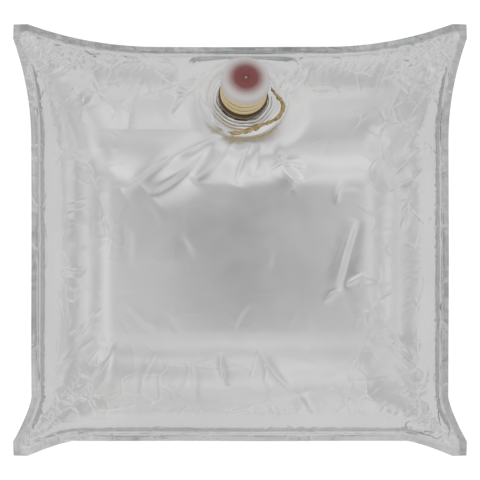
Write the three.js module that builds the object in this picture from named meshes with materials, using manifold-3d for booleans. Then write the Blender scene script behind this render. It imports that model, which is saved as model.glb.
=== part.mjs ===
// A filled bag-in-box liner lying on its back: a metallised film pouch, heat sealed round its four
// edges, with a moulded filling and dispensing spout near its top edge and a push-on closure.
// Millimetres, +Z up. The origin is on the floor under the middle of the pouch, and +Y points to
// the edge that carries the spout.

import * as THREE from "three";
import { mergeVertices } from "three/addons/utils/BufferGeometryUtils.js";
import Module from "manifold-3d";

const wasm = await Module();
wasm.setup();

// Pouch: plan
const TIP_SPAN_X = 342;
const TIP_SPAN_Y = 325.5;
const EAR_TIP_FLAT = 11;
const TOP_EDGE_INSET = 18;
const TOP_EDGE_EAR_RUN = 100;
const BOTTOM_EDGE_INSET = 12;
const BOTTOM_EDGE_EAR_RUN = 36;
const SIDE_INSET = 14.5;
const SIDE_TOP_EAR_RUN = 80;
const SIDE_BOTTOM_EAR_RUN = 34;
const TOP_EAR_CURVE = 2.1;
const BOTTOM_EAR_CURVE = 1.35;

// Pouch: seal and section
const SEAL_WIDTH = 7.5;
const SEAL_THICKNESS = 1;
const SEAM_HEIGHT = 35;
const EAR_DROOP = 10;
const POUCH_HEIGHT = 85;
const CROWN_DOME = 4;
const SIDE_SLOPE = 66;
const TOP_SLOPE = 112;
const BOTTOM_SLOPE = 84;
const BELLY_SLOPE = 48;
const FILM_FULLNESS = 0.61;
const TOP_FULLNESS = 0.85;

// Pouch: gathers along the seals
const GATHER_DEPTH = 2.2;
const GATHER_REACH = 17;
const GATHER_PITCH = 21;
const GATHER_END_FADE = 60;
const SEAM_WAVE = 1.2;

// Spout seat on the pouch
const SPOUT_FROM_TOP_TIPS = 58.25;
const SPOUT_OFF_CENTRE = 2;
const SPOUT_TILT_DEG = 22;
const SPOUT_LEAN_DEG = 4;
const SEAT_MARGIN = 1.5;
const SEAT_BLEND = 24;
const SEAT_SEAL_FADE = 6;
const WEB_THICKNESS = 1;
const WEB_RISE = 0.6;
const WELD_RING_COUNT = 4;
const WELD_RING_WIDTH = 1.1;
const WELD_RING_HEIGHT = 0.5;

// Spout
const BORE_RADIUS = 14.3;
const NECK_WALL = 1.7;
const FLANGE_RADIUS = 28;
const FLANGE_THICKNESS = 2;
const ROOT_STEP = 0.3;
const COLLAR_OVERHANG = 2.2;
const COLLAR_THICKNESS = 3;
const GRIP_GROOVE_DEPTH = 0.4;
const GRIP_GROOVE_WIDTH = 2.8;
const RIB_COUNT = 3;
const RIB_PITCH = 5.9;
const RIB_GAP = 1.1;
const RIB_DEPTH = 1.2;
const RIB_BEVEL = 0.7;

// Closure
const CAP_WALL = 1.5;
const CAP_HEIGHT = 9;
const CAP_TOP_THICKNESS = 2;
const CAP_SHOULDER = 3.4;
const CAP_DOME = 0.5;
const GATE_MARK_RADIUS = 0.9;
const GATE_MARK_HEIGHT = 0.35;
const PLUG_TO_BORE = 2.8;
const PLUG_WALL = 1.5;
const PLUG_DEPTH = 4.5;

// Fits and fineness
const CLEARANCE = 0.3;
const CELLS_ACROSS = 20;
const ROUND_SEGMENTS = 48;
const FILLET_STEPS = 4;

// Main creases of the front film. Each has its start and end as shares of the pouch's half spans,
// and its share of the crease height, where a negative one is a valley.
const CREASE_HEIGHT = 2.6;
const CREASE_HALF_WIDTH = 6;
const CREASES = [
  { from: [0.16, 0.71], to: [0.27, 0.82], share: 0.7 },
  { from: [-0.11, 0.71], to: [-0.21, 0.59], share: -0.7 },
  { from: [-0.06, 0.45], to: [-0.43, 0.25], share: 0.9 },
  { from: [0.01, 0.45], to: [-0.28, 0.29], share: -0.9 },
  { from: [0.05, 0.44], to: [-0.02, 0.27], share: -0.8 },
  { from: [0.11, 0.44], to: [0.14, 0.31], share: 0.7 },
  { from: [0.87, 0.79], to: [0.59, 0.41], share: -0.9 },
  { from: [0.87, 0.42], to: [0.62, 0.25], share: 1 },
  { from: [0.88, 0.37], to: [0.65, 0.2], share: -0.9 },
  { from: [0.48, 0.09], to: [0.4, -0.23], share: -0.5 },
  { from: [0.08, -0.49], to: [0.3, -0.76], share: 1 },
  { from: [0.02, -0.5], to: [0.25, -0.75], share: -0.9 },
  { from: [-0.08, -0.49], to: [-0.05, -0.66], share: -0.9 },
  { from: [-0.54, -0.47], to: [-0.71, -0.73], share: 1 },
  { from: [-0.6, -0.43], to: [-0.8, -0.59], share: -0.9 },
  { from: [0.56, -0.31], to: [0.85, -0.73], share: -1 },
  { from: [0.62, -0.44], to: [0.79, -0.65], share: 0.9 },
  { from: [-0.82, 0.49], to: [-0.64, 0.33], share: 0.9 },
];

const HALF_X = TIP_SPAN_X / 2;
const HALF_Y = TIP_SPAN_Y / 2;
const SEAT_Y = HALF_Y - SPOUT_FROM_TOP_TIPS;
const NECK_RADIUS = BORE_RADIUS + NECK_WALL;
const ROOT_RADIUS = NECK_RADIUS + ROOT_STEP;
const COLLAR_RADIUS = NECK_RADIUS + COLLAR_OVERHANG;
const GRIP_GROOVE_RADIUS = NECK_RADIUS - GRIP_GROOVE_DEPTH;
const RIB_RADIUS = NECK_RADIUS + RIB_DEPTH;
const WELD_RING_PITCH = (FLANGE_RADIUS - COLLAR_RADIUS) / WELD_RING_COUNT;
const WEB_BOTTOM = WEB_RISE - WEB_THICKNESS;
const FLANGE_TOP = WEB_BOTTOM - CLEARANCE;
const FLANGE_BOTTOM = FLANGE_TOP - FLANGE_THICKNESS;
const COLLAR_BOTTOM = WEB_RISE + 2 * CLEARANCE;
const COLLAR_TOP = COLLAR_BOTTOM + COLLAR_THICKNESS;
const RIBS_BOTTOM = COLLAR_TOP + GRIP_GROOVE_WIDTH;
const RIBS_TOP = RIBS_BOTTOM + RIB_COUNT * RIB_PITCH;
const CAP_BOTTOM = RIBS_TOP + CLEARANCE;
const CAP_TOP = CAP_BOTTOM + CAP_HEIGHT;
const CAP_CEILING = CAP_TOP - CAP_TOP_THICKNESS;
const LIP_TOP = CAP_CEILING - CLEARANCE;
const SKIRT_INNER_RADIUS = NECK_RADIUS + CLEARANCE;
const CAP_RADIUS = SKIRT_INNER_RADIUS + CAP_WALL;
const PLUG_OUTER_RADIUS = BORE_RADIUS - PLUG_TO_BORE;
const PLUG_INNER_RADIUS = PLUG_OUTER_RADIUS - PLUG_WALL;
const PLUG_BOTTOM = CAP_CEILING - PLUG_DEPTH;

// Pouch plan: how far the filled edge is drawn in from the flat sheet's edge, at a distance from
// the corner tip. The drawn-in edge is straight in its middle and swings out to the tip at each ear.
function drawnIn(fromTip, inset, run, curve) {
  const share = THREE.MathUtils.clamp((fromTip - EAR_TIP_FLAT) / run, 0, 1);
  return inset * (1 - (1 - share) ** curve);
}

// The plan position of a point of the sheet, whose flat place is u, v.
function planPoint(u, v) {
  const fromTipX = HALF_X - Math.abs(u);
  const fromTipY = HALF_Y - Math.abs(v);
  const towardsTop = v >= 0;
  const sideRun = towardsTop ? SIDE_TOP_EAR_RUN : SIDE_BOTTOM_EAR_RUN;
  const curve = towardsTop ? TOP_EAR_CURVE : BOTTOM_EAR_CURVE;
  const edgeInset = towardsTop ? TOP_EDGE_INSET : BOTTOM_EDGE_INSET;
  const edgeRun = towardsTop ? TOP_EDGE_EAR_RUN : BOTTOM_EDGE_EAR_RUN;
  const x = u * (1 - drawnIn(fromTipY, SIDE_INSET, sideRun, curve) / HALF_X);
  const y = v * (1 - drawnIn(fromTipX, edgeInset, edgeRun, curve) / HALF_Y);
  return [x, y];
}

// Rounded rise from a seal towards the middle: 0 at the seal, 1 at the end of the slope and beyond.
function rise(fromSeal, slope, fullness = FILM_FULLNESS) {
  const share = THREE.MathUtils.clamp(fromSeal / slope, 0, 1);
  return (1 - (1 - share) ** 2) ** fullness;
}

// Height of the seal's middle plane: level along the edges, lower at the ears, with slow waves.
function seamHeight(u, v) {
  const ear = (Math.abs(u / HALF_X) * Math.abs(v / HALF_Y)) ** 5;
  const wave = SEAM_WAVE * Math.sin((u + 0.7 * v) / GATHER_PITCH) * (1 - ear);
  return SEAM_HEIGHT - EAR_DROOP * ear + wave;
}

// Puckers that stand across a seal, highest a little way in from it and gone in the middle.
function gather(along, fromSeal, phase) {
  const share = Math.max(fromSeal, 0) / GATHER_REACH;
  const wave = Math.sin((2 * Math.PI * along) / GATHER_PITCH + phase);
  const slowWave = Math.sin((2 * Math.PI * along) / (2.7 * GATHER_PITCH) + 2 * phase);
  return GATHER_DEPTH * share * Math.exp(1 - share) * (0.6 * wave + 0.4 * slowWave);
}

// A rounded ridge or valley along a straight line, tapering to nothing at both ends.
function crease(x, y, { from, to, share }) {
  const start = new THREE.Vector2(from[0] * HALF_X, from[1] * HALF_Y);
  const line = new THREE.Vector2(to[0] * HALF_X, to[1] * HALF_Y).sub(start);
  const point = new THREE.Vector2(x, y).sub(start);
  const along = point.dot(line) / line.lengthSq();
  if (along <= 0 || along >= 1) return 0;
  const across = point.cross(line) / line.length() / CREASE_HALF_WIDTH;
  return share * CREASE_HEIGHT * Math.sin(Math.PI * along) ** 0.7 * Math.exp(-(across ** 2));
}

// Front film without its spout seat: crowned between the seals, with a slight dome in the middle.
function crownHeight(u, v) {
  const fromSideSeal = HALF_X - SEAL_WIDTH - Math.abs(u);
  const fromEndSeal = HALF_Y - SEAL_WIDTH - Math.abs(v);
  const endRise =
    v >= 0 ? rise(fromEndSeal, TOP_SLOPE, TOP_FULLNESS) : rise(fromEndSeal, BOTTOM_SLOPE);
  const share = rise(fromSideSeal, SIDE_SLOPE) * endRise;
  const sealTop = seamHeight(u, v) + SEAL_THICKNESS / 2;
  const dome = CROWN_DOME * ((u / HALF_X) ** 2 + (v / HALF_Y) ** 2);
  return sealTop + (POUCH_HEIGHT - dome - sealTop) * share;
}

// How much of a seal's puckers is left at a distance from the seal that it runs into.
function endFade(fromNextSeal) {
  return THREE.MathUtils.smoothstep(fromNextSeal, 0, GATHER_END_FADE);
}

// The front film's puckers and creases, which fade out at the seals.
function frontWrinkles(u, v, x, y) {
  const fromSideSeal = HALF_X - SEAL_WIDTH - Math.abs(u);
  const fromEndSeal = HALF_Y - SEAL_WIDTH - Math.abs(v);
  const nearest = Math.min(fromSideSeal, fromEndSeal);
  const fade = THREE.MathUtils.smoothstep(nearest, 0, GATHER_REACH);
  const puckers =
    gather(v, fromSideSeal, Math.sign(u)) * endFade(fromEndSeal) +
    gather(u, fromEndSeal, 2 + Math.sign(v)) * endFade(fromSideSeal);
  const creases = CREASES.reduce((sum, line) => sum + crease(x, y, line), 0);
  return nearest > 0 ? puckers + creases * fade : 0;
}

// The spout seat: a flat, tilted place on the crown, found from the film's own height there.
function seatMatrix() {
  const v = SEAT_Y / (1 - TOP_EDGE_INSET / HALF_Y);
  const tilt = THREE.MathUtils.degToRad(SPOUT_TILT_DEG);
  const lean = THREE.MathUtils.degToRad(SPOUT_LEAN_DEG);
  const normal = new THREE.Vector3(Math.sin(lean), Math.sin(tilt), Math.cos(tilt)).normalize();
  const turn = new THREE.Quaternion().setFromUnitVectors(new THREE.Vector3(0, 0, 1), normal);
  const place = new THREE.Vector3(SPOUT_OFF_CENTRE, SEAT_Y, crownHeight(SPOUT_OFF_CENTRE, v));
  return new THREE.Matrix4().compose(place, turn, new THREE.Vector3(1, 1, 1));
}

const SEAT = seatMatrix();
const SEAT_PLACE = new THREE.Vector3().setFromMatrixPosition(SEAT);
const SEAT_AXIS = new THREE.Vector3(0, 0, 1).transformDirection(SEAT);

// Height of the seat's plane at x, y, and how much of it shows there: all under the flange.
function seatPlane(x, y) {
  const dx = x - SEAT_PLACE.x;
  const dy = y - SEAT_PLACE.y;
  const height = SEAT_PLACE.z - (SEAT_AXIS.x * dx + SEAT_AXIS.y * dy) / SEAT_AXIS.z;
  const distance = Math.hypot(dx, dy / SEAT_AXIS.z);
  const flat = FLANGE_RADIUS + SEAT_MARGIN;
  const share = 1 - THREE.MathUtils.smoothstep(distance, flat, flat + SEAT_BLEND);
  return { height, share };
}

function frontHeight(u, v) {
  const [x, y] = planPoint(u, v);
  const seat = seatPlane(x, y);
  const film = crownHeight(u, v) + frontWrinkles(u, v, x, y);
  const fromEndSeal = HALF_Y - SEAL_WIDTH - Math.abs(v);
  const share = seat.share * THREE.MathUtils.smoothstep(fromEndSeal, 0, SEAT_SEAL_FADE);
  return THREE.MathUtils.lerp(film, seat.height, share);
}

// Back film: it curves down from the seal to a level patch that lies on the floor.
function backHeight(u, v) {
  const fromSideSeal = HALF_X - SEAL_WIDTH - Math.abs(u);
  const fromEndSeal = HALF_Y - SEAL_WIDTH - Math.abs(v);
  const share = rise(fromSideSeal, BELLY_SLOPE) * rise(fromEndSeal, BELLY_SLOPE);
  return (seamHeight(u, v) - SEAL_THICKNESS / 2) * (1 - share);
}

// Grid lines over the flat sheet, closer together towards the seals, with one cell of seal width.
function gridLines(half) {
  const inner = half - SEAL_WIDTH;
  const lines = [half];
  for (let i = CELLS_ACROSS; i > 0; i--) {
    const share = i / CELLS_ACROSS;
    lines.push(inner * (0.6 * share + 0.4 * Math.sin((share * Math.PI) / 2)));
  }
  return [...lines.map((line) => -line), 0, ...lines.reverse()];
}

// The pouch's skin as one closed mesh: two films over one grid, joined round their edge.
function pouchSkin() {
  const columns = gridLines(HALF_X);
  const rows = gridLines(HALF_Y);
  const stride = columns.length;
  const layer = stride * rows.length;
  const positions = [];
  for (const height of [frontHeight, backHeight])
    for (const v of rows)
      for (const u of columns) positions.push(...planPoint(u, v), height(u, v));

  const faces = [];
  const quad = (a, b, c, d) => faces.push(a, b, c, a, c, d);
  for (let row = 0; row + 1 < rows.length; row++)
    for (let column = 0; column + 1 < stride; column++) {
      const corner = row * stride + column;
      const next = corner + stride;
      quad(corner, corner + 1, next + 1, next);
      quad(layer + corner, layer + next, layer + next + 1, layer + corner + 1);
    }
  const rim = [];
  for (let column = 0; column + 1 < stride; column++) rim.push(column);
  for (let row = 0; row + 1 < rows.length; row++) rim.push(row * stride + stride - 1);
  for (let column = stride - 1; column > 0; column--) rim.push(layer - stride + column);
  for (let row = rows.length - 1; row > 0; row--) rim.push(row * stride);
  rim.forEach((point, i) => {
    const following = rim[(i + 1) % rim.length];
    quad(point, layer + point, layer + following, following);
  });
  return new THREE.BufferGeometry()
    .setAttribute("position", new THREE.Float32BufferAttribute(positions, 3))
    .setIndex(faces);
}

// A turned solid about +Z from a closed profile of [radius, height] points.
function turned(points) {
  const profile = points.map(([radius, height]) => new THREE.Vector2(radius, height));
  return new THREE.LatheGeometry(profile, ROUND_SEGMENTS).rotateX(Math.PI / 2);
}

function toManifold(geometry) {
  const bare = geometry.clone();
  bare.deleteAttribute("normal");
  bare.deleteAttribute("uv");
  const merged = mergeVertices(bare, 1e-4);
  return new wasm.Manifold(
    new wasm.Mesh({
      numProp: 3,
      vertProperties: new Float32Array(merged.attributes.position.array),
      triVerts: new Uint32Array(merged.index.array),
    }),
  );
}

function toGeometry(solid) {
  const mesh = solid.getMesh();
  return new THREE.BufferGeometry()
    .setAttribute("position", new THREE.BufferAttribute(new Float32Array(mesh.vertProperties), 3))
    .setIndex(new THREE.BufferAttribute(new Uint32Array(mesh.triVerts), 1));
}

// The film over the flange: a disc with the concentric ridges that the sealing tool leaves.
function weldedFilm() {
  const edge = FLANGE_RADIUS + SEAT_MARGIN;
  const points = [[0, FLANGE_BOTTOM], [edge, FLANGE_BOTTOM], [edge, 0], [edge - WEB_RISE, WEB_RISE]];
  for (let ring = WELD_RING_COUNT - 1; ring >= 0; ring--) {
    const middle = COLLAR_RADIUS + WELD_RING_PITCH * (ring + 0.5);
    points.push([middle + WELD_RING_WIDTH / 2, WEB_RISE]);
    points.push([middle, WEB_RISE + WELD_RING_HEIGHT]);
    points.push([middle - WELD_RING_WIDTH / 2, WEB_RISE]);
  }
  points.push([0, WEB_RISE]);
  return turned(points);
}

// The space for the flange under the film and for the neck's root through it.
function flangePocket() {
  return turned([
    [0, FLANGE_BOTTOM - CLEARANCE],
    [FLANGE_RADIUS + CLEARANCE, FLANGE_BOTTOM - CLEARANCE],
    [FLANGE_RADIUS + CLEARANCE, FLANGE_TOP + CLEARANCE],
    [ROOT_RADIUS + CLEARANCE, FLANGE_TOP + CLEARANCE],
    [ROOT_RADIUS + CLEARANCE, COLLAR_TOP],
    [0, COLLAR_TOP],
  ]);
}

function pouchGeometry() {
  const film = toManifold(weldedFilm().applyMatrix4(SEAT));
  const pocket = toManifold(flangePocket().applyMatrix4(SEAT));
  return toGeometry(toManifold(pouchSkin()).add(film).subtract(pocket));
}

// Spout: one moulding of flange, root, collar, grip groove, docking ribs and neck, bored through.
function spoutGeometry() {
  const points = [
    [BORE_RADIUS, FLANGE_BOTTOM],
    [FLANGE_RADIUS, FLANGE_BOTTOM],
    [FLANGE_RADIUS, FLANGE_TOP],
    [ROOT_RADIUS, FLANGE_TOP],
    [ROOT_RADIUS, COLLAR_BOTTOM],
    [COLLAR_RADIUS, COLLAR_BOTTOM],
    [COLLAR_RADIUS, COLLAR_TOP],
    [GRIP_GROOVE_RADIUS, COLLAR_TOP],
  ];
  for (let rib = 0; rib < RIB_COUNT; rib++) {
    const foot = RIBS_BOTTOM + rib * RIB_PITCH;
    const head = foot + RIB_PITCH - RIB_GAP;
    const footRadius = rib ? NECK_RADIUS : GRIP_GROOVE_RADIUS;
    points.push([footRadius, foot], [RIB_RADIUS - RIB_BEVEL, foot]);
    points.push([RIB_RADIUS, foot + RIB_BEVEL], [RIB_RADIUS, head - RIB_BEVEL]);
    points.push([RIB_RADIUS - RIB_BEVEL, head], [NECK_RADIUS, head]);
  }
  points.push([NECK_RADIUS, LIP_TOP], [BORE_RADIUS, LIP_TOP], [BORE_RADIUS, FLANGE_BOTTOM]);
  return turned(points);
}

// Closure: domed top with a round shoulder and a gate mark, an outer skirt over the neck, and a
// plug ring that reaches into the bore.
function capGeometry() {
  const points = [
    [0, CAP_CEILING],
    [PLUG_INNER_RADIUS, CAP_CEILING],
    [PLUG_INNER_RADIUS, PLUG_BOTTOM],
    [PLUG_OUTER_RADIUS, PLUG_BOTTOM],
    [PLUG_OUTER_RADIUS, CAP_CEILING],
    [SKIRT_INNER_RADIUS, CAP_CEILING],
    [SKIRT_INNER_RADIUS, CAP_BOTTOM],
    [CAP_RADIUS, CAP_BOTTOM],
  ];
  const shoulderRadius = CAP_RADIUS - CAP_SHOULDER;
  const shoulderBase = CAP_TOP - CAP_DOME - CAP_SHOULDER;
  for (let step = 0; step <= FILLET_STEPS; step++) {
    const angle = (step / FILLET_STEPS) * (Math.PI / 2);
    points.push([
      shoulderRadius + CAP_SHOULDER * Math.cos(angle),
      shoulderBase + CAP_SHOULDER * Math.sin(angle),
    ]);
  }
  points.push([shoulderRadius / 2, CAP_TOP - CAP_DOME / 4]);
  points.push([GATE_MARK_RADIUS, CAP_TOP]);
  points.push([GATE_MARK_RADIUS / 2, CAP_TOP + GATE_MARK_HEIGHT], [0, CAP_TOP + GATE_MARK_HEIGHT]);
  return turned(points);
}

// Contents that stand in the neck and inside the plug ring, and show through the closure.
function contentsGeometry() {
  const ringTop = PLUG_BOTTOM - CLEARANCE;
  return turned([
    [0, FLANGE_BOTTOM],
    [BORE_RADIUS - CLEARANCE, FLANGE_BOTTOM],
    [BORE_RADIUS - CLEARANCE, ringTop],
    [PLUG_INNER_RADIUS - CLEARANCE, ringTop],
    [PLUG_INNER_RADIUS - CLEARANCE, CAP_CEILING - CLEARANCE],
    [0, CAP_CEILING - CLEARANCE],
  ]);
}

function subPart(name, geometry, color, roughness, metalness, extra = {}) {
  const material = new THREE.MeshStandardMaterial({ color, roughness, metalness, ...extra });
  const mesh = new THREE.Mesh(geometry, material);
  mesh.name = name;
  return mesh;
}

const liner = new THREE.Group();
liner.add(subPart("pouch", pouchGeometry(), 0xc4c5c5, 0.3, 0.9, { side: THREE.DoubleSide }));

const fitment = new THREE.Group();
fitment.applyMatrix4(SEAT);
fitment.add(subPart("spout", spoutGeometry(), 0xcbb07c, 0.4, 0));
fitment.add(subPart("cap", capGeometry(), 0xd8d4d2, 0.45, 0, { transparent: true, opacity: 0.85 }));
fitment.add(subPart("contents_in_neck", contentsGeometry(), 0x8a3b36, 0.5, 0));
liner.add(fitment);

export default liner;
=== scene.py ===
"""A filled bag-in-box liner pouch on a pale floor: the metallised film, the welded spout and the
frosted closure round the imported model. Metres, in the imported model's own frame."""
import math

import bpy
import numpy as np
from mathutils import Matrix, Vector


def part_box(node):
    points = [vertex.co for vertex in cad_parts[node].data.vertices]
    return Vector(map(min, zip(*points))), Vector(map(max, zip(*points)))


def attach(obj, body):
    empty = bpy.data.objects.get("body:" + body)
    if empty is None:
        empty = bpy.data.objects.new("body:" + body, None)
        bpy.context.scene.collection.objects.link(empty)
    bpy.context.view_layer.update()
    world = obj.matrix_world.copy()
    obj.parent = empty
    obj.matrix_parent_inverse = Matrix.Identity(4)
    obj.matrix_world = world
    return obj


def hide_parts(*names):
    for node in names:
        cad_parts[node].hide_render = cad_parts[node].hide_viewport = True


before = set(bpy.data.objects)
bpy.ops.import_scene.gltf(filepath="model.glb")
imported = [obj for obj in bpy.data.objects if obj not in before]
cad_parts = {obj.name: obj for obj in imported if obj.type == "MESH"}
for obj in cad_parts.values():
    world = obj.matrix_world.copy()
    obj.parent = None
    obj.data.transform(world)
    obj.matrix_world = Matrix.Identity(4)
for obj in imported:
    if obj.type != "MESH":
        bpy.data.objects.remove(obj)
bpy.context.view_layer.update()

MM_IN_METRE = 1000

# The pouch's plan and section, as its solid has them
POUCH_LOW, POUCH_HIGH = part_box("pouch")
HALF_X = (POUCH_HIGH[0] - POUCH_LOW[0]) / 2
HALF_Y = (POUCH_HIGH[1] - POUCH_LOW[1]) / 2
EAR_TIP_FLAT = 0.011
TOP_EDGE_INSET = 0.018
TOP_EDGE_EAR_RUN = 0.100
BOTTOM_EDGE_INSET = 0.012
BOTTOM_EDGE_EAR_RUN = 0.036
SIDE_INSET = 0.0145
SIDE_TOP_EAR_RUN = 0.080
SIDE_BOTTOM_EAR_RUN = 0.034
TOP_EAR_CURVE = 2.1
BOTTOM_EAR_CURVE = 1.35
SEAL_WIDTH = 0.0075
SEAM_HEIGHT = 0.035
EAR_DROOP = 0.010
EAR_DROOP_POWER = 5
SEAM_WAVE = 0.0012
SEAM_WAVE_REACH = 0.021
SEAM_WAVE_SLANT = 0.7
POUCH_HEIGHT = 0.085
CROWN_DOME = 0.004
SIDE_SLOPE = 0.066
TOP_SLOPE = 0.112
BOTTOM_SLOPE = 0.084
BELLY_SLOPE = 0.048
FILM_FULLNESS = 0.61
TOP_FULLNESS = 0.85
NEVER_ZERO = 1e-9

# The spout's seat
SPOUT_FROM_TOP_TIPS = 0.05825
SPOUT_OFF_CENTRE = 0.002
SPOUT_TILT = math.radians(22)
SPOUT_LEAN = math.radians(4)
FLANGE_RADIUS = 0.028
SEAT_MARGIN = 0.0015
SEAT_BLEND = 0.024
SEAT_SEAL_FADE = 0.006
ROOT_RADIUS = 0.0163
COLLAR_RADIUS = 0.0182

# The film's slack: how much longer it is than the smooth shape, which is what wrinkles it
SEAM_SLACK = 0.017
SEAM_SLACK_REACH = 0.022
EAR_SLACK = 0.018
EAR_SLACK_POWER = 3
CRUMPLE_SLACK = 0.0016
CRUMPLE_MOST = 3
SLACK_FROM_SEAL = (-0.001, 0.004)
SLACK_FROM_FLANGE = (0.003, 0.014)
PATCH_PITCH = 0.06
PATCH_SEED = 5
PATCH_LEAST = 0.25
PATCH_MEAN = 0.8
PATCH_SWING = 1.1
PATCH_MOST = 2.4
WANDER_WAVES = 10
WANDER_SPREAD = (0.7, 1.6)
SEAL_SOFTNESS = 0.04

# Where the film turns from calm to crumpled, as shares of the half spans, which for the corners
# are multiplied with each other
PLATEAU_EDGE = (0.5, 0.8)
CORNER_EDGE = (0.40, 0.72)
RIGHT_EDGE = (0.45, 0.75)
CALM_CRUMPLED = 0.36
RIGHT_CRUMPLED = 0.55

# The solver that lets the film find its wrinkles
FILM_SEED = 11
FILM_CELLS = (71, 68)
FILM_STEPS = (400, 300, 120)
FIRST_RIPPLE = 0.0003
HOLD = 0.006
SEAL_HOLD = 0.10
RIM_HOLD = 0.3
SEAT_HOLD = 0.9
SEAT_HELD = (0.002, 0.006)
PRESS = 0.00001
PRESS_EVERY = 4
SQUEEZE = 0.8
SLANT_STRETCH = 0.7
STIFFNESS = 0.12
SHORTEST = 1e-12

# The looks of the film. The seals' dullness is that of the left, right, bottom and top one
SEAL_DULL = (0.40, 0.62, 0.20, 0.85)
DULL_WIDTH = 0.0058
DULL_FADE = 0.001
CREASED_EDGE = (0.45, 0.85)
PLATEAU_CREASED = 0.07
LINES_PATCHES = 0.7
LINES_FROM = 0.47
LINES_FADE = 0.12
CELLS_WARPED_BY = 0.6
SEAL_TONE = (0.36, 0.38, 0.37)
SEAL_MOTTLE = (0.35, 0.65, 0.55, 1.0)
SHARP_ANGLE = math.radians(75)

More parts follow.
